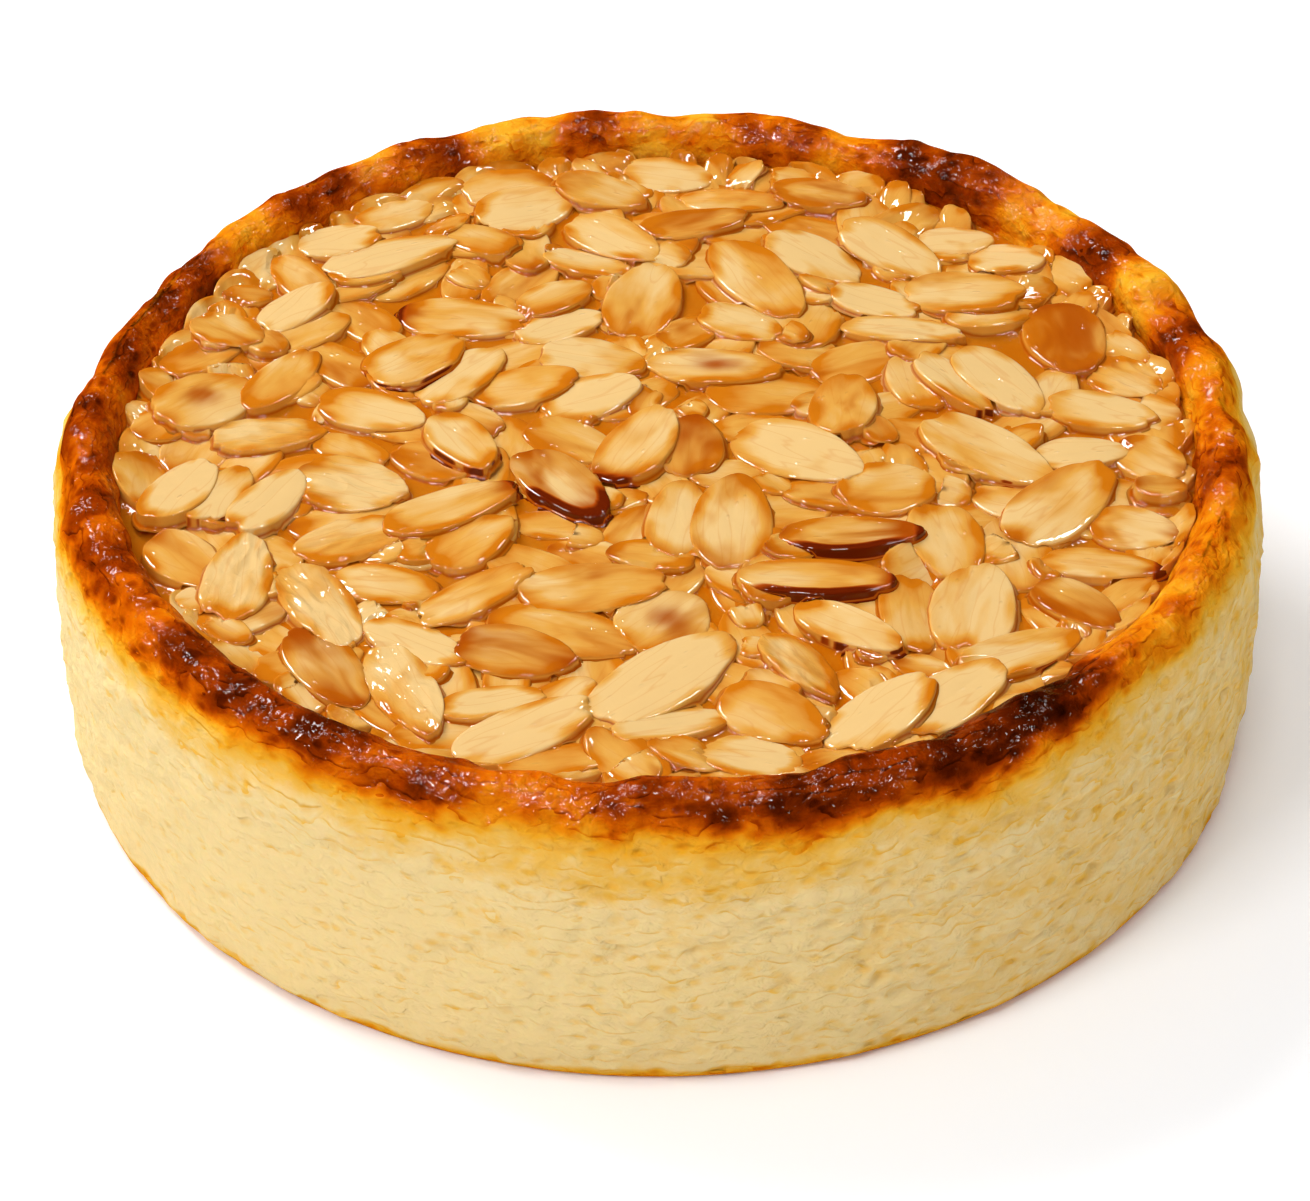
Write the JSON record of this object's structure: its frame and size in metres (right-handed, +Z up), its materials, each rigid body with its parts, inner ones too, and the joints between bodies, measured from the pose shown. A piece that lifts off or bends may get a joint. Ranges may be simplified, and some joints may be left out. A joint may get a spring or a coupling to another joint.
{
  "type": "almond tart",
  "caption": "Round baked tart with a tall pale side, a raised browned rim and a caramel-glazed topping of sliced almonds.",
  "frame": {"origin": "middle of the flat underside, on the surface that the tart stands on", "axes": "+Z up through the middle of the tart, -Y towards the front that the picture shows"},
  "size_m": [0.1812, 0.1812, 0.0512],
  "materials": {
    "baked_crust": "soft baked custard, satin and pale cream on the side, glossy and browned on the rim",
    "glazed_almonds": "toasted almond slices under a wet amber caramel glaze"
  },
  "bodies": {
    "root": {"baked_body": "baked_crust", "almond_topping": "glazed_almonds"}
  },
  "joints": []
}
